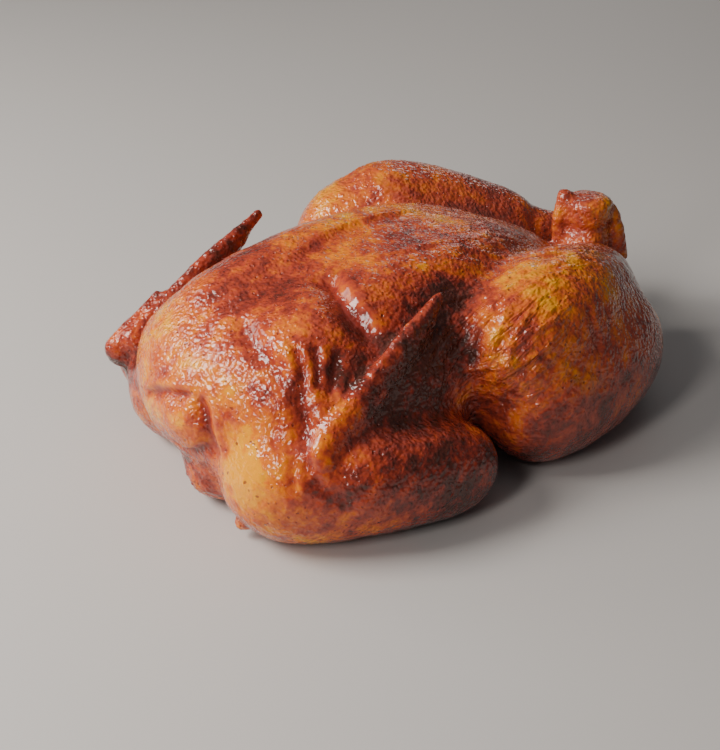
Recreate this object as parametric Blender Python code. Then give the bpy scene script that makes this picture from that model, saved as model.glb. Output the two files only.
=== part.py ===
"""A whole roast chicken, breast up: one solid in metres, +Z up.

+X points to the tail and the ankles, -X to the neck, -Y to the near side of the bird.
It lies on its back: the flats of the back, the wings and the thighs share the plane z = 0.
Every limb is a row of stations (x, y, z, half width, half height) in millimetres.
"""

import bpy
import numpy as np

MM = 0.001
ROUND_STEPS = 40
LONG_STEPS = 48
VOXEL = 2.0
FLESH_SMOOTHING = 42
THIN_SMOOTHING = 4
TRIANGLES = 10000
FLAT_SPOT = 2.5
SKIN_COLOUR = (0.55, 0.19, 0.035, 1.0)
SKIN_ROUGHNESS = 0.32

BODY = [
    (-124, 3, 40, 38, 25), (-98, 3, 41, 55, 34), (-60, 0, 40, 60, 42), (-28, 0, 41, 60, 44),
    (4, 0, 40, 56, 43), (46, 0, 36, 45, 35), (86, 0, 27, 27, 20), (106, 0, 25, 14, 12),
]
BREAST = [
    (-108, 18, 52, 24, 22), (-84, 20, 54, 27, 27), (-40, 20, 57, 30, 29),
    (10, 18, 54, 27, 29), (60, 9, 44, 18, 22),
]
FAR_THIGH = [(92, 42, 21, 22, 21), (58, 56, 29, 32, 32), (20, 62, 38, 29, 38), (-4, 62, 34, 16, 26)]
FAR_DRUMSTICK = [(17, 60, 58, 24, 26), (44, 54, 58, 25, 24), (76, 34, 53, 18, 18), (100, 14, 48, 12, 12)]
NEAR_THIGH = [(88, -44, 21, 22, 21), (54, -56, 29, 31, 32), (14, -64, 30, 28, 33), (-18, -66, 26, 20, 27)]
NEAR_DRUMSTICK = [(-24, -58, 43, 22, 26), (24, -56, 54, 27, 27), (68, -42, 47, 21, 20), (92, -22, 39, 14, 14)]
FAR_ARM = [(-106, 36, 22, 24, 24), (-66, 56, 20, 23, 22), (-30, 70, 15, 17, 18)]
NEAR_ARM = [(-116, -16, 23, 20, 23), (-99, -34, 25, 26, 27), (-64, -58, 21, 23, 23), (-26, -71, 15, 17, 18)]
FAR_FOREARM = [(-28, 72, 16, 15, 18), (-62, 74, 24, 14, 19), (-99, 69, 30, 12, 16)]
NEAR_FOREARM = [(-26, -72, 16, 15, 18), (-62, -68, 24, 14, 19), (-98, -56, 28, 14, 18)]
NECK_END = [(-117, 2, 11, 13, 12), (-90, 0, 14, 24, 15)]
FAR_WING_TIP = [(-98, 65, 32, 7, 12), (-68, 65, 51, 5, 9.5), (-27, 64, 77, 2.5, 3.5)]
FAR_THUMB = [(-103, 70, 30, 6, 10), (-78, 70, 54, 2.5, 3.5)]
NEAR_WING_TIP = [(-102, -54, 32, 9, 15), (-72, -53, 53, 5, 13), (-31, -48, 81, 2.5, 4)]
NEAR_ANKLE = [(90, -20, 40, 14, 14), (95, -17, 56, 10.5, 10.5), (97, -15, 74, 12, 11.5)]
FAR_ANKLE = [(94, 19, 46, 13, 13), (106, 10, 44, 9.5, 9.5), (117, 1, 43, 11.5, 11.5)]
ANKLE_FLAP = [(88, -10, 50, 5, 5), (86, -9, 63, 3.5, 4), (89, -9, 76, 3, 3)]
ANKLE_FOLD = [(106, -28, 42, 5, 5), (106, -25, 56, 4, 4), (104, -22, 68, 3, 3)]
SKIN_TAG = [(-106, -31, 8, 4, 4), (-117, -26, 5, 3, 3)]
HIP_SKIN = [(80, -47, 17, 16, 13), (96, -54, 12, 10, 9)]
TAIL = [(88, 0, 22, 21, 15), (108, 0, 22, 16, 11), (125, 0, 22, 8, 7)]

# Furrows pressed into the skin: a path (x, y, z), its half width and its depth.
FURROWS = [
    ([(-55, -9, 84), (-60, -30, 79), (-58, -47, 68)], 3.5, 3.2),
    ([(-89, 0, 76), (-95, -26, 68), (-96, -41, 58), (-98, -50, 47)], 4.0, 3.5),
    ([(-121, 20, 44), (-121, 5, 52), (-119, -5, 57), (-117, -11, 57)], 3.5, 3.0),
    ([(-117, -11, 57), (-119, -16, 50), (-120, -19, 42), (-118, -22, 32)], 4.5, 4.5),
]


def curve_through(points, count):
    """Cubic curve through the points, with steps that close up near both ends by a cosine."""
    points = np.asarray(points, float)
    chord = np.r_[0, np.cumsum(np.linalg.norm(np.diff(points[:, :3], axis=0), axis=1))]
    slopes = np.gradient(points, chord, axis=0)
    s = chord[-1] * (1 - np.cos(np.linspace(0, np.pi, count))) / 2
    i = np.clip(np.searchsorted(chord, s) - 1, 0, len(points) - 2)
    width = (chord[i + 1] - chord[i])[:, None]
    t = (s - chord[i])[:, None] / width
    start, end = points[i], points[i + 1]
    start_slope, end_slope = slopes[i] * width, slopes[i + 1] * width
    curve = (
        (2 * t**3 - 3 * t**2 + 1) * start
        + (t**3 - 2 * t**2 + t) * start_slope
        + (3 * t**2 - 2 * t**3) * end
        + (t**3 - t**2) * end_slope
    )
    return curve, s


def limb(stations, up=(0, 0, 1), square=2.0, blunt=1.0):
    """Closed tube of superelliptic sections; a blunt below 1 shortens its round ends."""
    curve, s = curve_through(stations, LONG_STEPS)
    centre, radii = curve[:, :3], np.maximum(curve[:, 3:], 0.5)
    tangent = np.gradient(centre, axis=0)
    tangent /= np.linalg.norm(tangent, axis=1, keepdims=True)
    side = np.cross(tangent, np.asarray(up, float))
    side /= np.linalg.norm(side, axis=1, keepdims=True)
    high = np.cross(side, tangent)
    end_gap = np.minimum(s, s[-1] - s)[:, None]
    cap = np.minimum(end_gap / (blunt * radii.min(1, keepdims=True)), 1)
    radii = radii * np.sqrt(1 - (1 - cap) ** 2)
    angle = np.linspace(0, 2 * np.pi, ROUND_STEPS, endpoint=False)
    across = np.sign(np.cos(angle)) * np.abs(np.cos(angle)) ** (2 / square)
    upward = np.sign(np.sin(angle)) * np.abs(np.sin(angle)) ** (2 / square)
    rings = centre[:, None] + side[:, None] * (radii[:, :1] * across)[:, :, None]
    rings = rings + high[:, None] * (radii[:, 1:] * upward)[:, :, None]
    rings = rings[1:-1]
    points = np.vstack([centre[:1], rings.reshape(-1, 3), centre[-1:]])
    here = np.arange(ROUND_STEPS)
    after = (here + 1) % ROUND_STEPS
    first = 1 + np.arange(len(rings) - 1)[:, None] * ROUND_STEPS
    second = first + ROUND_STEPS
    quads = np.stack([first + here, first + after, second + after, second + here], -1).reshape(-1, 4)
    last = 1 + (len(rings) - 1) * ROUND_STEPS
    start_fan = np.stack([np.zeros_like(here), 1 + after, 1 + here], -1)
    end_fan = np.stack([np.full_like(here, len(points) - 1), last + here, last + after], -1)
    return points, quads.tolist() + start_fan.tolist() + end_fan.tolist()


def mirrored(stations):
    """The same stations on the other side of the bird."""
    return [(x, -y, z, across, high) for x, y, z, across, high in stations]


def as_object(name, shapes):
    """One object that holds all the shapes, still as separate shells."""
    points, faces, start = [], [], 0
    for shape_points, shape_faces in shapes:
        points.append(shape_points)
        faces += [[index + start for index in face] for face in shape_faces]
        start += len(shape_points)
    mesh = bpy.data.meshes.new(name)
    mesh.from_pydata((np.vstack(points) * MM).tolist(), [], faces)
    obj = bpy.data.objects.new(name, mesh)
    bpy.context.scene.collection.objects.link(obj)
    return obj


def finished(obj):
    """The object's mesh with its modifiers applied; the object itself goes."""
    graph = bpy.context.evaluated_depsgraph_get()
    mesh = bpy.data.meshes.new_from_object(obj.evaluated_get(graph))
    bpy.data.objects.remove(obj)
    return mesh


def read_points(mesh, what="co"):
    """The mesh's points, or its normals, as an array of rows."""
    values = np.empty(len(mesh.vertices) * 3)
    mesh.vertices.foreach_get(what, values)
    return values.reshape(-1, 3)


def fused(shapes, passes, base=None):
    """The shapes, and the base mesh with them, as one skin whose joints are filleted by smoothing."""
    if base is not None:
        faces = [list(face.vertices) for face in base.polygons]
        shapes = shapes + [(read_points(base) / MM, faces)]
    obj = as_object("shapes", shapes)
    remesh = obj.modifiers.new("fuse", "REMESH")
    remesh.mode = "VOXEL"
    remesh.voxel_size = VOXEL * MM
    smooth = obj.modifiers.new("fillet", "SMOOTH")
    smooth.factor = 0.5
    smooth.iterations = passes
    return finished(obj)


def distance_to_path(points, path):
    """Shortest distance from each point to a smooth path laid on the points."""
    spots = [points[np.argmin(np.linalg.norm(points - np.array(spot), axis=1))] for spot in path]
    curve = curve_through([(*spot, 1, 1) for spot in spots], 60)[0][:, :3]
    best = np.full(len(points), np.inf)
    for start, step in zip(curve[:-1], np.diff(curve, axis=0)):
        t = np.clip((points - start) @ step / (step @ step), 0, 1)
        best = np.minimum(best, np.linalg.norm(points - start - t[:, None] * step, axis=1))
    return best


def pressed(mesh):
    """Press the furrows in along the normals, then flatten the underside on z = 0."""
    points, normals = read_points(mesh) / MM, read_points(mesh, "normal")
    for path, half_width, depth in FURROWS:
        gap = distance_to_path(points, path)
        points -= normals * (depth * np.exp(-(gap / half_width) ** 2))[:, None]
    points[:, 2] = np.maximum(points[:, 2] - points[:, 2].min() - FLAT_SPOT, 0)
    mesh.vertices.foreach_set("co", (points * MM).ravel())
    mesh.update()
    return mesh


def reduced(mesh, triangles):
    """The mesh with that many triangles."""
    obj = bpy.data.objects.new("dense", mesh)
    bpy.context.scene.collection.objects.link(obj)
    mesh.calc_loop_triangles()
    fewer = obj.modifiers.new("fewer", "DECIMATE")
    fewer.ratio = triangles / len(mesh.loop_triangles)
    fewer.use_collapse_triangulate = True
    return finished(obj)


def bird_shapes():
    """Soft masses that blend into each other, and thin ones that keep their edges."""
    soft = [limb(BODY, square=2.2), limb(BREAST), limb(mirrored(BREAST))]
    for stations in (FAR_THIGH, FAR_DRUMSTICK, NEAR_THIGH, NEAR_DRUMSTICK):
        soft.append(limb(stations))
    for stations in (FAR_ARM, NEAR_ARM, FAR_FOREARM, NEAR_FOREARM, NECK_END):
        soft.append(limb(stations))
    thin = [limb(stations) for stations in (FAR_WING_TIP, FAR_THUMB, NEAR_WING_TIP, SKIN_TAG, HIP_SKIN, TAIL)]
    thin.append(limb(FAR_ANKLE, blunt=0.4))
    for stations in (NEAR_ANKLE, ANKLE_FLAP, ANKLE_FOLD):
        thin.append(limb(stations, up=(1, 0, 0), blunt=0.4))
    return soft, thin


def skin_material():
    """Golden brown roasted skin."""
    material = bpy.data.materials.new("roasted_skin")
    material.use_nodes = True
    shader = material.node_tree.nodes["Principled BSDF"]
    shader.inputs["Base Color"].default_value = SKIN_COLOUR
    shader.inputs["Roughness"].default_value = SKIN_ROUGHNESS
    return material


def main():
    for obj in list(bpy.data.objects):
        bpy.data.objects.remove(obj)
    soft, thin = bird_shapes()
    mesh = pressed(fused(thin, THIN_SMOOTHING, fused(soft, FLESH_SMOOTHING)))
    mesh = reduced(mesh, TRIANGLES)
    mesh.name = "chicken"
    bird = bpy.data.objects.new("chicken", mesh)
    bpy.context.scene.collection.objects.link(bird)
    mesh.polygons.foreach_set("use_smooth", [True] * len(mesh.polygons))
    mesh.materials.append(skin_material())
    return bird


main()
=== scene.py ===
# %% [markdown]
# # A whole roast chicken, worked out with numpy and finished with nodes
#
# The real thing is one roasted bird on its back: a body under a broad breast, two folded legs, two tucked
# wings, and one glazed skin drawn over all of them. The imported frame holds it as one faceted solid. This
# script makes the skin that people see: the same limbs at a finer grain, with folds, wrinkles, pimples,
# browning, yellow fat and glaze.

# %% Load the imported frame
import math

import bpy
import numpy as np
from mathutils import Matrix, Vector


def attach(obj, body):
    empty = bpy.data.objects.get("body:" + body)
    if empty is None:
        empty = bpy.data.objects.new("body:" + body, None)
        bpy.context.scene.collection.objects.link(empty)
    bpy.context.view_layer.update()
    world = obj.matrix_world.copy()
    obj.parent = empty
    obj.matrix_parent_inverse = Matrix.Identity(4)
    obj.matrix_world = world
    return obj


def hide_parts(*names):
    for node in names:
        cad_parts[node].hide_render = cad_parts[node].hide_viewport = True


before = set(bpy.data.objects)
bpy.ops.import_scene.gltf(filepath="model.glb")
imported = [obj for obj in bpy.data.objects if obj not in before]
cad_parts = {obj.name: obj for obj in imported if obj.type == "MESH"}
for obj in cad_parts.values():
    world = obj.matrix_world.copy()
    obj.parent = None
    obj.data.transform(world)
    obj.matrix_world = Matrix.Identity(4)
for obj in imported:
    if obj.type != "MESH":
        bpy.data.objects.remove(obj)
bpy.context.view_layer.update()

scene = bpy.context.scene
MM = 0.001

# %% [markdown]
# ## The camera
#
# A photograph fixes where its camera stood. Straight level edges in it give two vanishing points, and these
# give the focal length and the tilt. The camera looks 30.9 degrees down, turned 43 degrees from the bird's
# own axis. It could also be found by trial, but solved once it never needs another look.

# %% Stand the camera where the photograph was taken
PHOTO_SIZE = (720, 750)
FOCAL_PIXELS = 1509.0
SENSOR = 36.0
TURN, TILT = math.radians(43.0), math.radians(30.9)
CAMERA_HEIGHT = 0.35
AIM = Vector((0.0, 0.03, 0.0))
DISTANCE = CAMERA_HEIGHT / math.sin(TILT)

AHEAD = Vector((math.sin(TURN), math.cos(TURN), 0))
UP = Vector((0, 0, 1))
VIEW = AHEAD * math.cos(TILT) - UP * math.sin(TILT)

camera_data = bpy.data.cameras.new("camera")
camera_data.sensor_width = SENSOR
camera_data.lens = FOCAL_PIXELS / max(PHOTO_SIZE) * SENSOR
camera = bpy.data.objects.new("camera", camera_data)
camera.location = AIM - VIEW * DISTANCE
camera.rotation_euler = VIEW.to_track_quat("-Z", "Y").to_euler()
scene.collection.objects.link(camera)
scene.camera = camera
print("camera at", tuple(round(v, 3) for v in camera.location), "lens", round(camera_data.lens, 1))

# %% [markdown]
# ## The limbs
#
# Each limb of the bird is a mass that swells and narrows along a curve: a thigh, a drumstick, an upper
# wing. It could be sculpted, but a short row of stations says the same thing and can be changed by name.
# Each station is a place and two half sizes in millimetres, and a tube of ovals is carried along the
# curve through them.

# %% Carry oval sections along a curve
ROUND_STEPS = 40
LONG_STEPS = 48


def curve_through(points, count):
    """Hermite cubics through the points, whose slopes are finite differences over the chord length.

    The steps follow (1 - cos) / 2, so they close up near both ends, where a round end needs them.
    """
    points = np.asarray(points, float)
    chord = np.r_[0, np.cumsum(np.linalg.norm(np.diff(points[:, :3], axis=0), axis=1))]
    slopes = np.gradient(points, chord, axis=0)
    s = chord[-1] * (1 - np.cos(np.linspace(0, np.pi, count))) / 2
    i = np.clip(np.searchsorted(chord, s) - 1, 0, len(points) - 2)
    width = (chord[i + 1] - chord[i])[:, None]
    t = (s - chord[i])[:, None] / width
    start, end = points[i], points[i + 1]
    start_slope, end_slope = slopes[i] * width, slopes[i + 1] * width
    curve = (
        (2 * t**3 - 3 * t**2 + 1) * start
        + (t**3 - 2 * t**2 + t) * start_slope
        + (3 * t**2 - 2 * t**3) * end
        + (t**3 - t**2) * end_slope
    )
    return curve, s


def limb(stations, up=(0, 0, 1), square=2.0, blunt=1.0):
    """Closed tube: centre(s) + side * a(s) * cos^(2/square) + high * b(s) * sin^(2/square).

    Near an end the half sizes a and b shrink as a circle does, over blunt times the smaller of them.
    """
    curve, s = curve_through(stations, LONG_STEPS)
    centre, radii = curve[:, :3], np.maximum(curve[:, 3:], 0.5)
    tangent = np.gradient(centre, axis=0)
    tangent /= np.linalg.norm(tangent, axis=1, keepdims=True)
    side = np.cross(tangent, np.asarray(up, float))
    side /= np.linalg.norm(side, axis=1, keepdims=True)
    high = np.cross(side, tangent)
    end_gap = np.minimum(s, s[-1] - s)[:, None]
    cap = np.minimum(end_gap / (blunt * radii.min(1, keepdims=True)), 1)
    radii = radii * np.sqrt(1 - (1 - cap) ** 2)
    angle = np.linspace(0, 2 * np.pi, ROUND_STEPS, endpoint=False)
    across = np.sign(np.cos(angle)) * np.abs(np.cos(angle)) ** (2 / square)
    upward = np.sign(np.sin(angle)) * np.abs(np.sin(angle)) ** (2 / square)
    rings = centre[:, None] + side[:, None] * (radii[:, :1] * across)[:, :, None]
    rings = rings + high[:, None] * (radii[:, 1:] * upward)[:, :, None]
    rings = rings[1:-1]
    points = np.vstack([centre[:1], rings.reshape(-1, 3), centre[-1:]])
    here = np.arange(ROUND_STEPS)
    after = (here + 1) % ROUND_STEPS
    first = 1 + np.arange(len(rings) - 1)[:, None] * ROUND_STEPS
    second = first + ROUND_STEPS
    quads = np.stack([first + here, first + after, second + after, second + here], -1).reshape(-1, 4)
    last = 1 + (len(rings) - 1) * ROUND_STEPS
    start_fan = np.stack([np.zeros_like(here), 1 + after, 1 + here], -1)
    end_fan = np.stack([np.full_like(here, len(points) - 1), last + here, last + after], -1)
    return points, quads.tolist() + start_fan.tolist() + end_fan.tolist()


def mirrored(stations):
    """The same stations with y turned to -y."""
    return [(x, -y, z, across, high) for x, y, z, across, high in stations]


print("a limb has", LONG_STEPS, "sections of", ROUND_STEPS, "points")

# %% [markdown]
# ## One skin over all limbs
#
# On the bird one skin runs over every joint, so no edge shows where a wing meets the breast. Metaballs
# could do this too, but they swell where they meet. A voxel remesh of the overlapping tubes keeps their
# sizes, and smoothing it leaves a fillet at every joint, as drawn skin does. The thin wing tips and the
# ankles come in a second round with little smoothing, because smoothing would melt them away.

# %% The stations of every limb: x, y, z, half size across, half size upwards
BODY = [
    (-124, 3, 40, 38, 25), (-98, 3, 41, 55, 34), (-60, 0, 40, 60, 42), (-28, 0, 41, 60, 44),
    (4, 0, 40, 56, 43), (46, 0, 36, 45, 35), (86, 0, 27, 27, 20), (106, 0, 25, 14, 12),
]
BREAST = [
    (-108, 18, 52, 24, 22), (-84, 20, 54, 27, 27), (-40, 20, 57, 30, 29),
    (10, 18, 54, 27, 29), (60, 9, 44, 18, 22),
]
FAR_THIGH = [(92, 42, 21, 22, 21), (58, 56, 29, 32, 32), (20, 62, 38, 29, 38), (-4, 62, 34, 16, 26)]
FAR_DRUMSTICK = [(17, 60, 58, 24, 26), (44, 54, 58, 25, 24), (76, 34, 53, 18, 18), (100, 14, 48, 12, 12)]
NEAR_THIGH = [(88, -44, 21, 22, 21), (54, -56, 29, 31, 32), (14, -64, 30, 28, 33), (-18, -66, 26, 20, 27)]
NEAR_DRUMSTICK = [(-24, -58, 43, 22, 26), (24, -56, 54, 27, 27), (68, -42, 47, 21, 20), (92, -22, 39, 14, 14)]
FAR_ARM = [(-106, 36, 22, 24, 24), (-66, 56, 20, 23, 22), (-30, 70, 15, 17, 18)]
NEAR_ARM = [(-116, -16, 23, 20, 23), (-99, -34, 25, 26, 27), (-64, -58, 21, 23, 23), (-26, -71, 15, 17, 18)]
FAR_FOREARM = [(-28, 72, 16, 15, 18), (-62, 74, 24, 14, 19), (-99, 69, 30, 12, 16)]
NEAR_FOREARM = [(-26, -72, 16, 15, 18), (-62, -68, 24, 14, 19), (-98, -56, 28, 14, 18)]
NECK_END = [(-117, 2, 11, 13, 12), (-90, 0, 14, 24, 15)]
FAR_WING_TIP = [(-98, 65, 32, 7, 12), (-68, 65, 51, 4.5, 9), (-40, 64, 69, 2.6, 5), (-26, 64, 78, 1.4, 1.8)]
FAR_THUMB = [(-103, 70, 30, 6, 10), (-88, 70, 44, 3.6, 6), (-77, 70, 55, 1.4, 1.8)]
NEAR_WING_TIP = [(-102, -54, 32, 9, 15), (-72, -53, 53, 4.5, 12), (-46, -50, 71, 3, 7), (-30, -48, 82, 1.5, 2)]
NEAR_ANKLE = [(90, -20, 40, 14, 14), (95, -17, 56, 10.5, 10.5), (97, -15, 74, 12, 11.5)]
FAR_ANKLE = [(94, 19, 46, 13, 13), (106, 10, 44, 9.5, 9.5), (117, 1, 43, 11.5, 11.5)]
ANKLE_FLAP = [(88, -10, 50, 5, 5), (86, -9, 63, 3.5, 4), (89, -9, 76, 3, 3)]
ANKLE_FOLD = [(106, -28, 42, 5, 5), (106, -25, 56, 4, 4), (104, -22, 68, 3, 3)]
SKIN_TAG = [(-106, -31, 8, 4, 4), (-117, -26, 5, 3, 3)]
HIP_SKIN = [(80, -47, 17, 16, 13), (96, -54, 12, 10, 9)]
TAIL = [(88, 0, 22, 21, 15), (108, 0, 22, 16, 11), (125, 0, 22, 8, 7)]

SOFT_LIMBS = [
    FAR_THIGH, FAR_DRUMSTICK, NEAR_THIGH, NEAR_DRUMSTICK,
    FAR_ARM, NEAR_ARM, FAR_FOREARM, NEAR_FOREARM, NECK_END,
]
THIN_LIMBS = [FAR_WING_TIP, FAR_THUMB, NEAR_WING_TIP, SKIN_TAG, HIP_SKIN, TAIL]
UPRIGHT_LIMBS = [NEAR_ANKLE, ANKLE_FLAP, ANKLE_FOLD]
print("limbs:", len(SOFT_LIMBS), "soft,", len(THIN_LIMBS + UPRIGHT_LIMBS) + 1, "thin, with the body and two breasts")

# %% Fuse overlapping shells into one
SMOOTH_STEP = 0.5


def as_object(name, shapes):
    """One object that holds all the shapes as separate shells, each face list shifted by the points before it."""
    points, faces, start = [], [], 0
    for shape_points, shape_faces in shapes:
        points.append(shape_points)
        faces += [[index + start for index in face] for face in shape_faces]
        start += len(shape_points)
    mesh = bpy.data.meshes.new(name)
    mesh.from_pydata((np.vstack(points) * MM).tolist(), [], faces)
    obj = bpy.data.objects.new(name, mesh)
    scene.collection.objects.link(obj)
    return obj


def read_points(mesh, what="co"):
    """The mesh's points, or its normals, as rows of three."""
    values = np.empty(len(mesh.vertices) * 3)
    mesh.vertices.foreach_get(what, values)
    return values.reshape(-1, 3)


def fused(shapes, voxel, passes, base=None):
    """Surface of the union of all shells on a voxel grid, then passes of p = (p + mean of neighbours) / 2."""
    if base is not None:
        faces = [list(face.vertices) for face in base.polygons]
        shapes = shapes + [(read_points(base) / MM, faces)]
    obj = as_object("shapes", shapes)
    remesh = obj.modifiers.new("fuse", "REMESH")
    remesh.mode = "VOXEL"
    remesh.voxel_size = voxel * MM
    smooth = obj.modifiers.new("fillet", "SMOOTH")
    smooth.factor = SMOOTH_STEP
    smooth.iterations = passes
    graph = bpy.context.evaluated_depsgraph_get()
    mesh = bpy.data.meshes.new_from_object(obj.evaluated_get(graph))
    bpy.data.objects.remove(obj)
    return mesh


# %% Fuse the soft masses, then the thin pieces
SOFT_VOXEL, SOFT_SMOOTHING = 2.0, 42
SKIN_VOXEL, SKIN_SMOOTHING = 1.28, 8
BODY_SQUARE = 2.2
CUT_END = 0.4
FLAT_SPOT = 2.5

soft = [limb(BODY, square=BODY_SQUARE), limb(BREAST), limb(mirrored(BREAST))]
soft += [limb(stations) for stations in SOFT_LIMBS]
thin = [limb(stations) for stations in THIN_LIMBS]
thin.append(limb(FAR_ANKLE, blunt=CUT_END))
thin += [limb(stations, up=(1, 0, 0), blunt=CUT_END) for stations in UPRIGHT_LIMBS]
skin_mesh = fused(thin, SKIN_VOXEL, SKIN_SMOOTHING, fused(soft, SOFT_VOXEL, SOFT_SMOOTHING))
points = read_points(skin_mesh) / MM
normals = read_points(skin_mesh, "normal")
points[:, 2] -= points[:, 2].min() + FLAT_SPOT
print("skin", len(points), "points, box", points.min(0).round(1), points.max(0).round(1))

# %% [markdown]
# ## Noise that has a place in space
#
# Skin is never even. Its lumps, wrinkles and stains are all grown from one thing here: gradient noise, a
# smooth random field with a chosen grain. Blender has a noise call for one point at a time. Whole arrays
# are faster, so the field is worked out here for all points at once.

# %% Gradient noise on whole arrays
def corner_gradient(cell, seed):
    """A repeatable random direction for each lattice corner, from a hash of its three whole numbers."""
    h = cell[:, 0] * 374761393 + cell[:, 1] * 668265263 + cell[:, 2] * 2147483647 + seed * 1274126177
    h = (h ^ (h >> 13)) * 1274126177
    h = h ^ (h >> 16)
    parts = np.stack([(h >> shift) & 1023 for shift in (0, 10, 20)], -1)
    return parts / 511.5 - 1


def noise(where, grain, seed):
    """Noise from about -1 to 1: 1.3 times corner gradients dotted with offsets, blended by 6t^5 - 15t^4 + 10t^3."""
    p = where / grain
    cell = np.floor(p).astype(np.int64)
    f = p - cell
    blend = f**3 * (f * (f * 6 - 15) + 10)
    total = np.zeros(len(p))
    for dx in (0, 1):
        for dy in (0, 1):
            for dz in (0, 1):
                corner = np.array([dx, dy, dz])
                weight = np.prod(np.where(corner, blend, 1 - blend), axis=1)
                total += weight * np.sum(corner_gradient(cell + corner, seed) * (f - corner), axis=1)
    return total * 1.3


def ridges(where, grain, seed):
    """Thin raised lines where the noise crosses zero: (1 - 1.6 |noise|)^3, and never below zero."""
    return (1 - np.minimum(np.abs(noise(where, grain, seed)) * 1.6, 1)) ** 3


def stretched(where, along, factor):
    """Space squeezed along a direction: p - (1 - 1 / factor) * (p . along) * along.

    A field that is read in it comes out longer that way.
    """
    along = np.asarray(along, float)
    along /= np.linalg.norm(along)
    return where - (1 - 1 / factor) * (where @ along)[:, None] * along


def near(where, centre, reach):
    """Soft spot: exp(-(distance / reach)^2), with one reach or three."""
    return np.exp(-np.sum(((where - np.asarray(centre, float)) / reach) ** 2, axis=1))


sample = noise(points, 10, 0)
print("noise on the skin runs from", sample.min().round(2), "to", sample.max().round(2))

# %% [markdown]
# ## Folds
#
# Trussing has left folds across the near breast, and the neck skin is tucked under the breast. They could be
# plain grooves, but a groove lit from the left shows only a soft dark line. Each real fold is a step: the
# skin sinks slowly towards the line on one side and rises in a wall on the other, and that wall catches the
# light.

# %% Measure every point from a path laid on the skin
PATH_STEPS = 40


def path_offset(where, path, rise):
    """Distance to a smooth path laid on the nearest points, plus on the side of rise, and the place along it."""
    spots = [where[np.argmin(np.linalg.norm(where - np.array(spot, float), axis=1))] for spot in path]
    curve = curve_through([(*spot, 1, 1) for spot in spots], PATH_STEPS)[0][:, :3]
    best = np.full(len(where), np.inf)
    sign = np.ones(len(where))
    along = np.zeros(len(where))
    length = np.r_[0, np.cumsum(np.linalg.norm(np.diff(curve, axis=0), axis=1))]
    for i in range(len(curve) - 1):
        start, step = curve[i], curve[i + 1] - curve[i]
        t = np.clip((where - start) @ step / (step @ step), 0, 1)
        gap = where - start - t[:, None] * step
        size = np.linalg.norm(gap, axis=1)
        closer = size < best
        best[closer] = size[closer]
        sign[closer] = np.sign(gap[closer] @ np.asarray(rise, float))
        along[closer] = (length[i] + t[closer] * (length[i + 1] - length[i])) / length[-1]
    return best * sign, along


print("a path is measured in", PATH_STEPS, "steps")

# %% Step from one side of a path to the other
WOBBLE = 0.9
FULL_DEPTH = 3.0


def fold(where, path, rise, depth, valley, wall, lip=0.3, fade=0.2):
    """Step fold: -depth * exp(-(d / valley)^2) on the low side, a straight wall of width wall on the other.

    The depth grows over the first and the last fade of the path's length, and a low lip ends the wall.
    Also gives how much each point belongs to the valley and to the wall. The paint
    later darkens the valley as painted shade and lightens the wall as painted light.
    """
    wobble = WOBBLE * noise(where, 7, 40)
    d, along = path_offset(where, path, rise)
    d = d + wobble * np.minimum(np.abs(d) / 2 + 0.2, 1)
    ends = np.clip(np.minimum(along, 1 - along) / fade, 0, 1)
    ends = 0.1 + 0.9 * ends * ends * (3 - 2 * ends)
    t = np.clip(d / wall, 0, 1)
    low = -depth * np.exp(-(d / valley) ** 2)
    high = -depth * (1 - t) + lip * np.exp(-((d - 1.3 * wall) / (0.6 * wall)) ** 2) * t
    strength = ends * min(depth / FULL_DEPTH, 1)
    in_valley = np.where(d < 0.3 * wall, np.exp(-(np.minimum(d, 0) / (0.6 * valley)) ** 2), 0) * strength
    on_wall = np.where((d >= 0.3 * wall) & (d < 1.3 * wall), 1.0, 0) * strength
    return np.where(d < 0, low, high) * ends, in_valley, on_wall


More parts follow.
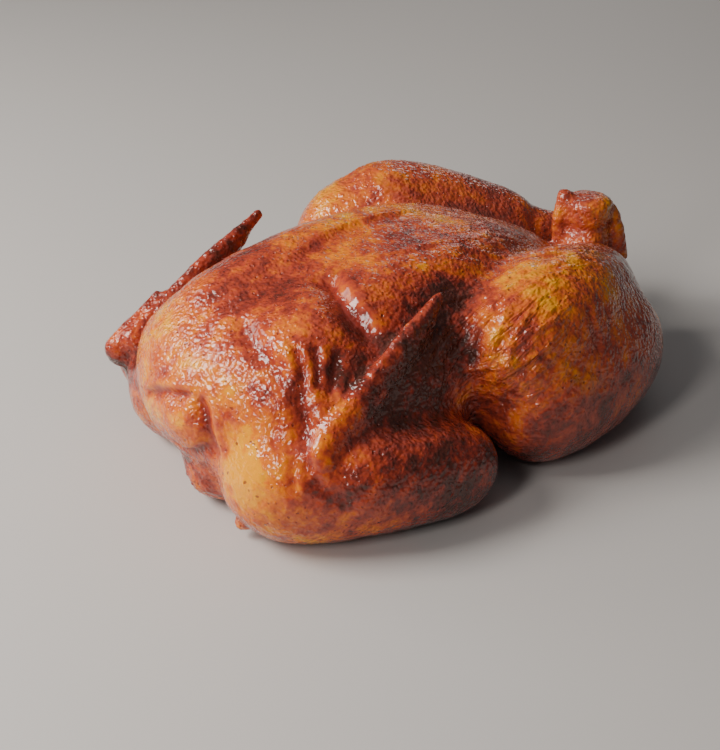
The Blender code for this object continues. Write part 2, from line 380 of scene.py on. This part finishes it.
# %% Press the folds into the skin: path, side that rises, depth, width of valley and wall, height of lip
FOLDS = [
    ([(-50, -4, 84), (-56, -14, 83), (-61, -27, 80), (-62, -38, 76), (-59, -47, 68)], (1, 0, 0), 4.8, 7.0, 5.2, 0.0),
    ([(-90, 0, 75), (-94, -10, 73), (-97, -25, 69), (-97, -38, 61)], (1, 0, 0), 2.0, 5.0, 5.6, 0.0),
    ([(-94, -37, 64), (-97, -44, 55), (-102, -52, 48), (-106, -60, 38)], (1, -0.6, 0), 2.2, 4.0, 5.5, 0.0),
    ([(-89, -30, 75), (-92, -38, 69), (-94, -42, 61)], (1, 0, 0), 2.0, 2.5, 3.0, 0.0),
    ([(-83, -35, 76), (-87, -41, 69), (-90, -45, 61)], (1, 0, 0), 2.0, 2.5, 3.0, 0.0),
    ([(-76, -40, 74), (-82, -45, 67), (-88, -48, 59)], (1, 0, 0), 2.0, 2.5, 3.0, 0.0),
    ([(-120, 24, 42), (-119, 15, 48), (-118, 7, 51), (-118, 0, 53), (-115, -8, 54)], (0, 0, 1), 2.8, 3.0, 2.2, 0.5),
    ([(-115, -8, 56), (-116, -12, 50), (-117, -15, 43), (-118, -20, 32)], (0, -1, 0), 2.8, 3.5, 3.5, 0.3),
    ([(-122, 8, 31), (-121, -4, 31), (-120, -12, 36), (-118, -15, 41)], (0, 0, 1), 2.2, 3.0, 2.6, 0.3),
    ([(-106, -57, 40), (-103, -62, 35), (-94, -70, 29)], (1, 1, 0), 0.9, 4.5, 2.5, 0.2),
    ([(-104, -44, 52), (-109, -51, 43), (-112, -56, 31)], (1, 0, 0), 0.7, 4.0, 2.5, 0.2),
    ([(22, -76, 72), (21, -81, 65), (22, -84, 57), (23, -86, 50)], (1, 0, 0), 0.8, 2.5, 1.8, 0.3),
    ([(30, -79, 68), (32, -82, 61), (30, -84, 55)], (-1, 0, 0), 0.6, 2.0, 1.6, 0.3),
    ([(-4, -79, 63), (3, -83, 55), (14, -87, 47), (30, -91, 36)], (0, 0, -1), 0.6, 2.5, 1.6, 0.3),
    ([(12, -90, 41), (26, -91, 38), (44, -90, 34)], (0, 0, -1), 0.5, 2.5, 1.8, 0.2),
    ([(15, -54, 81), (31, -53, 80), (48, -52, 76), (66, -50, 68)], (0, -1, 0), 0.8, 4.0, 2.5, 0.4),
    ([(112, -6, 64), (101, -27, 63), (84, -24, 63), (84, -8, 63)], (0, 0, 1), 1.3, 3.5, 2.2, 0.4),
    ([(-40, -14, 84), (-20, -20, 84), (4, -22, 82)], (0, 1, 0), 0.5, 3.0, 2.0, 0.3),
    ([(-58, 8, 85), (-34, 14, 86), (-8, 14, 85), (18, 10, 82)], (0, 1, 0), 0.6, 3.5, 2.2, 0.4),
]

relief, shaded_valley, lit_wall = np.zeros((3, len(points)))
for path, rise, depth, valley, wall, lip in FOLDS:
    step, in_valley, on_wall = fold(points, path, rise, depth, valley, wall, lip)
    relief += step
    shaded_valley, lit_wall = np.maximum(shaded_valley, in_valley), np.maximum(lit_wall, on_wall)
print("folds reach", relief.min().round(2), "to", relief.max().round(2), "mm")

# %% [markdown]
# ## Lumps, wrinkles and dried skin
#
# Muscle under the skin gives slow lumps. Fat that has rendered out leaves the skin loose, and it dries in
# fine wrinkles: long ones that run down the near knee and along the tail end of the breast, and short
# crossing ones elsewhere. The places come from the photograph, and the wrinkles themselves from noise.

# %% Name the places on the skin
knee = near(points, (-14, -64, 63), (30, 22, 24))
tail_end = near(points, (28, -16, 80), (34, 36, 18))
leg_top = near(points, (40, -56, 78), (32, 16, 10))
front = near(points, (-110, -8, 60), (22, 42, 28))
pleats = near(points, (-90, -42, 66), (14, 16, 16))
shoulder = near(points, (-114, -42, 36), (24, 26, 26))
neck_lump = near(points, (-116, -3, 14), (12, 16, 14))
far_top = near(points, (20, 62, 80), (34, 20, 14))
wing = near(points, (-64, -74, 22), (46, 18, 22))


def beside(where, path, reach):
    """Soft band: exp(-(distance to the straight path / reach)^2)."""
    best = np.full(len(where), np.inf)
    for start, end in zip(np.array(path[:-1], float), np.array(path[1:], float)):
        step = end - start
        t = np.clip((where - start) @ step / (step @ step), 0, 1)
        best = np.minimum(best, np.linalg.norm(where - start - t[:, None] * step, axis=1))
    return np.exp(-(best / reach) ** 2)


near_tip = beside(points, [row[:3] for row in NEAR_WING_TIP], 9)
far_tip = beside(points, [row[:3] for row in FAR_WING_TIP], 9)
far_tip = np.maximum(far_tip, beside(points, [row[:3] for row in FAR_THUMB], 8))
tips = np.maximum(near_tip, far_tip)
ankle = near(points, (97, -17, 66), (17, 17, 18))
neck_bulge = near(points, (-122, -1, 43), (10, 9, 8))
print("points on the wing tips:", int((tips > 0.5).sum()), "and on the knee:", int((knee > 0.5).sum()))

# %% Raise the lumps and the wrinkles, in millimetres
relief += 0.8 * noise(points, 27, 1) + 0.45 * noise(points, 13, 2) + 0.2 * noise(points, 6.5, 3)
warped = points + 2.2 * np.stack([noise(points, 8, seed) for seed in (4, 5, 6)], -1)
down_knee = stretched(warped, (-44, 8, -29), 3.2)
along_breast = stretched(warped, (1, -0.35, -0.1), 4.0)
down_wing = stretched(warped, (1, 0.1, -0.5), 3.0)
across = 0.5 + 0.5 * noise(points, 22, 14)
relief += 2.0 * neck_bulge
relief += (0.12 + 0.1 * front + 0.35 * shoulder + 0.2 * wing) * across * ridges(warped, 7, 7)
relief += 1.7 * knee * ridges(down_knee, 7.0, 8) + 0.6 * knee * noise(down_knee, 4.2, 9)
relief += 1.0 * (tail_end + 0.7 * leg_top) * ridges(along_breast, 4.6, 10)
relief += 0.35 * (tail_end + leg_top + far_top) * noise(along_breast, 3.2, 11)
relief += (0.8 * far_top + 0.5 * pleats) * ridges(warped, 5.5, 15)
relief += (0.8 * neck_lump + 0.5 * ankle) * ridges(warped, 4.5, 12)
relief += 0.55 * wing * ridges(down_wing, 7, 16) + 0.4 * shoulder * noise(down_wing, 5, 17)
relief += 0.6 * tips * ridges(stretched(warped, (1, 0, 0.7), 3), 4, 13)
relief += 0.12 * noise(points, 3.6, 18)
relief += 0.2 * across * ridges(warped + 40, 4.4, 19)
points += normals * relief[:, None]
points[:, 2] = np.maximum(points[:, 2], 0)
print("relief", relief.min().round(2), "to", relief.max().round(2), "mm")

# %% [markdown]
# ## Where the skin is brown, yellow or burnt, and where shade is painted
#
# Heat browns what stands highest, fat keeps the low front yellow, and sugar burns in small spots. Shade is
# painted in too: in hollows, fold valleys, round the near wing tip, on the near wing and low down, and light
# is painted on the fold walls. These are fields on the skin's points, so the paint follows the form from
# every side. An image would need a flat layout of the whole bird.

# %% Measure the hollows, for painted shade: darker in hollows, lighter on crests
HOLLOW_ROUNDS = 14
DEEP = 0.8

edges = np.empty(len(skin_mesh.edges) * 2, np.int64)
skin_mesh.edges.foreach_get("vertices", edges)
edges = edges.reshape(-1, 2)
ends, others = np.r_[edges[:, 0], edges[:, 1]], np.r_[edges[:, 1], edges[:, 0]]
valence = np.bincount(ends, minlength=len(points))


def neighbour_mean(values):
    """Mean of each point's neighbours, summed over the edges."""
    if values.ndim == 1:
        return np.bincount(ends, values[others], minlength=len(points)) / valence
    return np.stack([neighbour_mean(column) for column in values.T], -1)


skin_mesh.vertices.foreach_set("co", (points * MM).ravel())
skin_mesh.update()
normals = read_points(skin_mesh, "normal")
softer = points.copy()
for _ in range(HOLLOW_ROUNDS):
    softer = neighbour_mean(softer)
cavity_shade = np.clip(np.sum((softer - points) * normals, axis=1) / DEEP, -1, 1)
print("cavity_shade", np.percentile(cavity_shade, (2, 50, 98)).round(2))

# %% Soft patches with strayed edges
stray = points + 5 * np.stack([noise(points, 16, seed) for seed in (30, 31, 32)], -1)
stray = stray + 1.6 * np.stack([noise(points, 5, seed) for seed in (33, 34, 35)], -1)


def patches(places):
    """Sum of soft patches (x, y, z, reach, strength) with strayed edges, held at the strongest one."""
    total, most = np.zeros(len(points)), np.zeros(len(points))
    for x, y, z, reach, strength in places:
        patch = abs(strength) * near(stray, (x, y, z), reach)
        total += np.sign(strength) * patch
        most = np.maximum(most, patch)
    return np.clip(total, -most, most)


print("patch edges stray by up to", np.abs(stray - points).max().round(1), "mm")

# %% Where the skin is browned, where shade is painted, and where fat keeps it yellow: x, y, z, reach, strength
# Some of these places are painted shade: the hollow and gully beside the near wing tip, and the near wing's
# underside
BROWNED_AND_SHADED = [
    (-77, -48, 65, 9, 0.6), (-83, -45, 69, 8, 0.5), (-78, 4, 84, 22, 0.22), (-60, 22, 82, 20, 0.18),
    (-97, -12, 70, 10, 0.22), (-103, 4, 72, 5, 0.3), (-116, 11, 59, 5, 0.35), (-117, 1, 57, 4, 0.25),
    (-108, -27, 62, 5, 0.25), (-94, 12, 76, 6, 0.2), (-88, -14, 77, 7, 0.2), (-88, -42, 64, 13, 0.22),
    (-66, -32, 78, 11, 0.32), (-58, -50, 62, 14, 0.35), (-46, -60, 52, 16, 0.45), (-28, -51, 65, 12, 0.48),
    (-20, -42, 76, 9, 0.3), (-56, -72, 34, 18, 0.3), (-22, -74, 24, 18, 0.35), (-58, -86, 14, 18, 0.3),
    (3, -78, 68, 9, 0.12), (24, -84, 60, 16, 0.2), (48, -84, 46, 22, 0.2), (22, -92, 26, 20, 0.1),
    (66, -60, 58, 18, 0.2), (-1, -86, 32, 13, 0.38), (-9, -82, 32, 12, 0.42), (-95, -67, 35, 8, 0.3),
    (-86, -74, 30, 9, 0.2), (-75, -73, 41, 10, 0.2), (-70, -80, 22, 12, 0.25), (-46, -82, 29, 13, 0.35),
    (-40, 13, 86, 9, 0.3), (-64, 1, 82, 12, 0.15), (-48, -21, 86, 10, 0.2), (-18, -10, 85, 14, 0.2),
    (36, 36, 76, 18, 0.3), (64, 22, 68, 22, 0.25), (44, -22, 75, 18, 0.28), (20, -34, 76, 12, 0.2),
    (-101, 64, 40, 12, 0.3), (-46, 64, 66, 18, 0.5), (-84, 68, 48, 10, 0.3), (0, 8, 85, 14, 0.12),
    (-14, -30, 82, 12, 0.05), (92, -16, 76, 6, 0.2), (-116, -4, 14, 10, 0.2), (60, 70, 30, 24, 0.2),
    (-40, 84, 20, 24, 0.2), (100, 8, 40, 16, 0.2), (-122, 4, 31, 6, 0.32), (-118, -10, 36, 6, 0.2),
    (-120, 14, 44, 4, 0.35), (-117, -11, 46, 4, 0.3), (-96, -58, 22, 10, 0.2), (-116, -52, 28, 9, 0.16),
]
GOLDEN = [
    (-120, -36, 36, 14, -0.42), (-117, -50, 22, 13, -0.4), (-108, -62, 14, 13, -0.3), (-124, 4, 42, 9, -0.26),
    (-122, 20, 36, 10, -0.32), (-114, 28, 56, 16, -0.38), (-107, 27, 66, 14, -0.45), (-123, 0, 44, 9, -0.26),
    (-108, 2, 66, 16, -0.18), (16, 74, 74, 14, -0.5), (14, -64, 80, 11, -0.44), (2, -69, 76, 8, -0.34),
    (-20, -64, 62, 14, -0.18), (-44, 22, 86, 7, -0.35), (-30, 24, 86, 8, -0.4), (-15, 23, 86, 8, -0.35),
    (34, 42, 77, 9, -0.25), (0, 18, 84, 8, -0.3), (14, 13, 82, 9, -0.22), (-70, -58, 58, 4, -0.5),
    (6, -66, 78, 13, -0.38), (30, -66, 76, 12, -0.1), (-12, -77, 28, 12, -0.22), (-99, -62, 40, 5, -0.3),
    (-92, -71, 31, 4, -0.3), (-78, -80, 10, 9, -0.25), (-40, -14, 84, 12, -0.16), (-26, -30, 85, 9, -0.22),
    (90, -18, 66, 12, -0.1), (87, -10, 68, 7, -0.3), (30, 84, 50, 16, -0.2), (-32, -72, 36, 9, -0.2),
    (-85, -20, 77, 9, -0.15), (60, -14, 68, 7, -0.2), (-50, -50, 62, 4, -0.3),
]
print(len(BROWNED_AND_SHADED), "browned and", len(GOLDEN), "golden places")

# %% Add up the browning and the painted shade: 0 is yellow fat, 1 is nearly black
AWAY_FROM_LIGHT = np.array([0.55, -0.75, -0.35])
BLADE_FOOT = [(-62, -62, 42), (-46, -59, 52), (-37, -54, 60), (-20, -42, 75)]
SOFT_LIMIT = 0.82

# Painted shade on the near wing tip's face that turns away from the key lamp
blade_shade = near_tip * np.clip(1.5 * normals @ AWAY_FROM_LIGHT + 0.35, 0, 1)
# Painted shade with some browning in the gully between the near wing tip and the thigh
gully_shade_and_browning = beside(stray, BLADE_FOOT, 10)
# Painted shade on the near wing's side
wing_side_shade = near(points, (-70, -78, 24), (34, 14, 17))
# Painted shade: darker towards the bottom of the wings, legs and body
low_shade = np.clip((46 - points[:, 2]) / 36, 0, 1) * np.clip((points[:, 0] + 98) / 24, 0, 1)
brown_and_shade = 0.46 - 0.02 * normals[:, 2] + 0.26 * noise(stray, 24, 20) + 0.2 * noise(stray, 11, 21)
brown_and_shade += 0.1 * noise(points, 5.5, 22) + 0.18 * (tail_end + knee) * noise(along_breast, 7, 23)
brown_and_shade += patches(BROWNED_AND_SHADED) + patches(GOLDEN) + 0.06 * near(points, (-70, -10, 70), (60, 60, 40))
brown_and_shade += 0.5 * blade_shade + 0.46 * gully_shade_and_browning + 0.36 * near_tip + 0.28 * far_tip + 0.24 * wing_side_shade
# Painted shade in the fold valleys and low down, painted light on the fold walls
brown_and_shade += 0.1 * shaded_valley - 0.06 * lit_wall + 0.32 * low_shade
brown_and_shade -= 0.5 * np.maximum(brown_and_shade - SOFT_LIMIT, 0)
print("brown_and_shade", np.percentile(brown_and_shade, (5, 50, 95)).round(2))

# %% Burnt spots, where the skin is dry or smooth, and painted shade towards the tail
BURNT = [
    (-52, 4, 85, 2.0, 0.6), (-40, 5, 86, 2, 0.5), (-50, -10, 84, 3, 0.6), (-75, -12, 83, 2.5, 0.6),
    (52, -17, 71, 4, 0.7), (6, -87, 46, 3, 0.9), (-6, -80, 57, 2.5, 0.9), (-66, -4, 86, 2.5, 0.7),
    (70, 30, 68, 4, 0.6), (20, 60, 84, 3, 0.6), (34, -30, 77, 3, 0.6), (-33, -46, 79, 3, 0.8),
    (14, -91, 38, 2.5, 0.8), (-87, -20, 77, 2, 0.6), (30, 50, 78, 3, 0.6), (-64, -62, 47, 2.5, 0.7),
]
burnt = np.clip(patches(BURNT) * (0.75 + 0.9 * noise(points, 3.2, 24)), 0, 1)
dry = np.clip(tail_end + 0.8 * leg_top + 0.5 * tips + 0.3 * ankle, 0, 1)
knee_mask = np.clip(1.2 * knee, 0, 1)
# Painted shade: grey brown towards the tail end and below the top, where the key lamp is weaker
tail_shade = np.clip((points[:, 0] + 30) / 60, 0, 1) * np.clip((92 - points[:, 2]) / 26, 0, 1)
bulge_skin = near(points, (-122, -1, 43), (12, 16, 13))
smooth = np.max([0.6 * shaded_valley, 0.9 * lit_wall, 0.7 * shoulder, 0.4 * bulge_skin], axis=0)

fields = {
    "brown_and_shade": brown_and_shade, "burnt": burnt, "dry": dry, "knee": knee_mask,
    "cavity_shade": cavity_shade, "shaded_valley": shaded_valley, "smooth": smooth, "tail_shade": tail_shade,
}
for name, values in fields.items():
    layer = skin_mesh.attributes.new(name, "FLOAT", "POINT")
    layer.data.foreach_set("value", np.clip(values, -1, 1.5).astype(np.float32))
print("fields on the skin:", ", ".join(fields), "- burnt share", round(float(burnt.mean()), 3))

# %% [markdown]
# ## Glazed skin
#
# Roast skin is a thin brown film over fat and meat: light enters it, spreads and comes back warm. On top
# lies clear fat, smooth where it has pooled and broken by pimples where feathers grew. So the material is
# a scattering base with a clear coat, and both share a fine bump. Towards the tail end, where the key lamp
# is weaker, a little grey brown is mixed in as painted shade.

# %% A short way to write node graphs
class Graph:
    """Nodes and links of one material, written one line each."""

    def __init__(self, name):
        self.material = bpy.data.materials.new(name)
        self.material.use_nodes = True
        self.nodes = self.material.node_tree.nodes
        self.links = self.material.node_tree.links
        self.nodes.clear()

    def add(self, kind, inputs=None, **settings):
        """A node with its settings; an input is a value or another node's output."""
        node = self.nodes.new(kind)
        for key, value in settings.items():
            setattr(node, key, value)
        for key, value in (inputs or {}).items():
            self.put(node.inputs[key], value)
        return node

    def put(self, socket, value):
        """Link an output, or set a value."""
        if isinstance(value, bpy.types.NodeSocket):
            self.links.new(value, socket)
        else:
            socket.default_value = value

    def attribute(self, name):
        """A field painted on the points."""
        return self.add("ShaderNodeAttribute", attribute_name=name).outputs["Fac"]

    def math(self, operation, a, b=0.0, clamp=False):
        """One sum on two numbers."""
        return self.add("ShaderNodeMath", {0: a, 1: b}, operation=operation, use_clamp=clamp).outputs[0]

    def noise(self, where, scale, detail=3.0, rough=0.5, distortion=0.0):
        """Blender's own noise, centred on 0.5."""
        inputs = {"Vector": where, "Scale": scale, "Detail": detail, "Roughness": rough, "Distortion": distortion}
        return self.add("ShaderNodeTexNoise", inputs).outputs["Fac"]

    def mix(self, factor, a, b, kind="MIX"):
        """Two colours blended."""
        node = self.add("ShaderNodeMix", data_type="RGBA", blend_type=kind)
        self.put(node.inputs[0], factor)
        self.put(node.inputs[6], a)
        self.put(node.inputs[7], b)
        return node.outputs[2]

    def ramp(self, factor, stops):
        """Colours at places from 0 to 1."""
        node = self.add("ShaderNodeValToRGB", {"Fac": factor})
        elements = node.color_ramp.elements
        elements[0].position, elements[0].color = stops[0][0], (*stops[0][1], 1)
        elements[1].position, elements[1].color = stops[-1][0], (*stops[-1][1], 1)
        for place, colour in stops[1:-1]:
            elements.new(place).color = (*colour, 1)
        return node.outputs["Color"]


g = Graph("roasted_skin")
print("material", g.material.name)

# %% The colours of roast skin, from fat to burnt, and two browns for painted shade
FAT = (0.82, 0.325, 0.002)
GOLD = (0.73, 0.186, 0.006)
AMBER = (0.57, 0.106, 0.017)
ORANGE = (0.41, 0.056, 0.024)
MAHOGANY = (0.21, 0.031, 0.021)
UMBER = (0.085, 0.024, 0.017)
CHAR = (0.018, 0.009, 0.006)
FOLD_SHADE_RED = (0.22, 0.022, 0.014)
SHADE_BROWN = (0.34, 0.09, 0.06)
ROASTING = [(0.0, FAT), (0.22, GOLD), (0.42, AMBER), (0.60, ORANGE), (0.82, MAHOGANY), (1.0, UMBER)]
print("roasting runs over", len(ROASTING), "colours")

# %% Noises and lines that the colour and the bump share
STAIN_SCALE, MOTTLE_SCALE, SPECK_SCALE = 90, 230, 620
STRAY_SCALE, STRAY = 260.0, 0.0022
DOWN_KNEE, ALONG_BREAST = (-44, 8, -29), (1, -0.35, -0.1)


def lengthened(graph, where, along, factor):
    """Coordinates squeezed along a direction, so that a texture read in them comes out longer that way."""
    turn = Vector(along).to_track_quat("X", "Z").to_euler()
    inputs = {"Vector": where, "Rotation": turn, "Scale": (factor, 1, 1)}
    return graph.add("ShaderNodeMapping", inputs, vector_type="TEXTURE").outputs[0]


def scaled(graph, value, amount, shift=0.0):
    """(value + shift) * amount."""
    return graph.math("MULTIPLY", graph.math("ADD", value, shift), amount)


place = g.add("ShaderNodeTexCoord").outputs["Object"]
stray_way = g.add("ShaderNodeTexNoise", {"Vector": place, "Scale": STRAY_SCALE, "Detail": 2.0}).outputs["Color"]
stray_way = g.add("ShaderNodeVectorMath", {0: stray_way, 1: (0.5, 0.5, 0.5)}, operation="SUBTRACT").outputs[0]
stray_way = g.add("ShaderNodeVectorMath", {0: stray_way, "Scale": STRAY}, operation="SCALE").outputs[0]
strayed = g.add("ShaderNodeVectorMath", {0: place, 1: stray_way}, operation="ADD").outputs[0]

stain = g.noise(place, STAIN_SCALE, 3, 0.5, 0.5)
mottle = g.noise(strayed, MOTTLE_SCALE, 2, 0.5, 0.2)
speck = g.noise(place, SPECK_SCALE, 3, 0.6, 0.3)
knee_lines = g.noise(lengthened(g, place, DOWN_KNEE, 4.0), 260, 2, 0.5, 0.4)
breast_lines = g.noise(lengthened(g, place, ALONG_BREAST, 4.5), 300, 3, 0.55, 0.5)
knee_lines = g.math("MULTIPLY", scaled(g, knee_lines, 1.0, -0.5), g.attribute("knee"))
breast_lines = g.math("MULTIPLY", scaled(g, breast_lines, 1.0, -0.5), g.attribute("dry"))
lines = g.math("ADD", knee_lines, breast_lines)
print("nodes so far:", len(g.nodes))

# %% Colour by how far the skin is roasted, with painted shade from the skin's form
tone = g.math("ADD", g.attribute("brown_and_shade"), scaled(g, stain, 0.8, -0.5))
tone = g.math("ADD", tone, scaled(g, mottle, 0.85, -0.5))
tone = g.math("ADD", tone, scaled(g, speck, 0.42, -0.5))
# Painted shade from the skin's form: hollows darker, crests lighter
tone = g.math("ADD", tone, g.math("MULTIPLY", g.attribute("cavity_shade"), 0.10))
tone = g.math("SUBTRACT", tone, g.math("MULTIPLY", lines, 0.6), clamp=True)
colour = g.ramp(tone, ROASTING)
# Painted shade: a little grey brown mixed in towards the tail end
colour = g.mix(g.math("MULTIPLY", g.attribute("tail_shade"), 0.25), colour, (*SHADE_BROWN, 1))
# Painted shade: dark red mixed into the fold valleys
fold_shade = g.attribute("shaded_valley")
colour = g.mix(g.math("MULTIPLY", fold_shade, 0.6), colour, (*FOLD_SHADE_RED, 1))
print("nodes so far:", len(g.nodes))

# %% Pores, pepper and burnt spots
PORE_SCALE, PEPPER_SCALE = 430.0, 170.0

pores = g.add("ShaderNodeTexVoronoi", {"Vector": strayed, "Scale": PORE_SCALE, "Randomness": 1.0}, feature="F1")
cell = g.add("ShaderNodeSeparateColor", {"Color": pores.outputs["Color"]})
dot_size = scaled(g, cell.outputs[0], 0.6, -0.45)
dot = g.math("MULTIPLY", g.math("SUBTRACT", dot_size, pores.outputs["Distance"]), 9.0, clamp=True)
colour = g.mix(g.math("MULTIPLY", dot, 0.8), colour, (*MAHOGANY, 1))
pepper = g.add("ShaderNodeTexVoronoi", {"Vector": strayed, "Scale": PEPPER_SCALE, "Randomness": 1.0}, feature="F1")
pepper_cell = g.add("ShaderNodeSeparateColor", {"Color": pepper.outputs["Color"]})
seed_size = scaled(g, pepper_cell.outputs[1], 0.5, -0.72)
seed_dot = g.math("MULTIPLY", g.math("SUBTRACT", seed_size, pepper.outputs["Distance"]), 12.0, clamp=True)
colour = g.mix(g.math("MULTIPLY", seed_dot, 0.7), colour, (*CHAR, 1))
colour = g.mix(g.attribute("burnt"), colour, (*CHAR, 1))
print("nodes so far:", len(g.nodes))

# %% Pimples, lumps and wrinkles too fine for the mesh
PIMPLE_SCALE = 640.0
BUMP_DEPTH = 0.0010

pimples = g.add("ShaderNodeTexVoronoi", {"Vector": strayed, "Scale": PIMPLE_SCALE}, feature="SMOOTH_F1")
pimples = pimples.outputs["Distance"]
lumps = g.noise(place, 210, 2, 0.45, 0.6)
crackle = g.math("ABSOLUTE", scaled(g, g.noise(place, 150, 2, 0.5, 1.0), 2.0, -0.5))
height = g.math("ADD", scaled(g, pimples, -1.3), scaled(g, lumps, 0.8))
height = g.math("ADD", height, scaled(g, crackle, 0.3))
height = g.math("ADD", height, scaled(g, mottle, 0.5))
height = g.math("ADD", height, scaled(g, breast_lines, 3.6))
height = g.math("ADD", height, scaled(g, knee_lines, 9.0))
height = g.math("SUBTRACT", height, scaled(g, dot, 0.7))
height = g.math("MULTIPLY", height, g.math("SUBTRACT", 1.0, g.attribute("smooth")))
bump = g.add("ShaderNodeBump", {"Strength": 0.6, "Distance": BUMP_DEPTH, "Height": height}).outputs["Normal"]
print("bump up to", BUMP_DEPTH / MM, "mm deep")

# %% The shader: a scattering base under clear fat
roughness = g.math("ADD", scaled(g, speck, 0.22), scaled(g, g.attribute("dry"), 0.08))
roughness = g.math("ADD", roughness, 0.04)
shader = g.add("ShaderNodeBsdfPrincipled", {
    "Base Color": colour,
    "Roughness": roughness,
    "Subsurface Weight": 0.10,
    "Subsurface Radius": (1.0, 0.30, 0.08),
    "Subsurface Scale": 0.003,
    "Specular IOR Level": 0.25,
    "Coat Weight": 0.50,
    "Coat Roughness": 0.06,
    "Normal": bump,
    "Coat Normal": bump,
})
g.add("ShaderNodeOutputMaterial", {"Surface": shader.outputs[0]})
print("nodes in all:", len(g.nodes))

# %% The finished skin
skin_mesh.polygons.foreach_set("use_smooth", [True] * len(skin_mesh.polygons))
skin_mesh.name = "roast_skin"
skin = bpy.data.objects.new("roast_skin", skin_mesh)
scene.collection.objects.link(skin)
skin_mesh.materials.append(g.material)
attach(skin, "root")
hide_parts("chicken")
print("skin faces", len(skin_mesh.polygons))

# %% [markdown]
# ## Floor and light
#
# Glazed skin shows its form by the glare on it, so the lamps stand where the glare asks for them. A place
# that shines has its normal halfway between the eye and the lamp. For the walls of the folds and the front
# of the breast that gives the large lamp on the left and a little behind the bird, and for the front of
# the knee a narrow one on the left side. A weak one behind lights the top edge, a low one on the right
# draws the rim of the tail end, and a wide one overhead fills in.

# %% Floor
HALF = 3.0
BELOW = 0.0002

floor_mesh = bpy.data.meshes.new("floor")
floor_mesh.from_pydata([(-HALF, -HALF, 0), (HALF, -HALF, 0), (HALF, HALF, 0), (-HALF, HALF, 0)], [], [(0, 1, 2, 3)])
floor = bpy.data.objects.new("floor", floor_mesh)
floor.location.z = -BELOW
scene.collection.objects.link(floor)
f = Graph("pale_floor")
paint = f.add("ShaderNodeBsdfPrincipled", {"Base Color": (0.52, 0.51, 0.50, 1), "Roughness": 0.7})
f.add("ShaderNodeOutputMaterial", {"Surface": paint.outputs[0]})
floor_mesh.materials.append(f.material)
print("floor", 2 * HALF, "m wide")


# %% Lamps: the way from the bird, distance, size, watts and colour
def lamp(name, place, aim, size, power, colour):
    """A soft rectangular lamp that points from place at aim."""
    data = bpy.data.lights.new(name, "AREA")
    data.shape = "RECTANGLE"
    data.size, data.size_y = size
    data.energy = power
    data.color = colour
    obj = bpy.data.objects.new(name, data)
    obj.location = place
    obj.rotation_euler = (aim - place).to_track_quat("-Z", "Y").to_euler()
    scene.collection.objects.link(obj)
    return obj


WARM, SIDE_WARM, SOFT_WARM = (1.0, 0.93, 0.86), (1.0, 0.93, 0.88), (1.0, 0.96, 0.92)
middle = Vector((-0.01, 0, 0.04))
key_way = Vector((-0.64, 0.39, 0.66)).normalized()
back_way = Vector((-0.40, 0.78, 0.48)).normalized()
side_way = Vector((-0.80, -0.24, 0.54)).normalized()
rim_way = Vector((0.80, 0.56, 0.21)).normalized()
lamp("key", middle + key_way * 0.95, middle, (0.44, 0.38), 11.5, WARM)
lamp("back", middle + back_way * 1.0, middle, (0.5, 0.3), 2.4, WARM)
lamp("side", middle + side_way * 0.95, middle, (0.15, 0.4), 3.2, SIDE_WARM)
lamp("rim", middle + rim_way * 1.0, middle, (0.4, 0.14), 0.35, SIDE_WARM)
lamp("top", middle + UP * 1.1 + AHEAD * 0.1, middle, (1.0, 1.0), 0.9, SOFT_WARM)

# %% The pale room round the floor
world = bpy.data.worlds.new("studio")
world.use_nodes = True
sky = world.node_tree.nodes["Background"]
sky.inputs["Color"].default_value = (0.95, 0.96, 1.0, 1)
sky.inputs["Strength"].default_value = 0.08
scene.world = world
print("world", world.name)
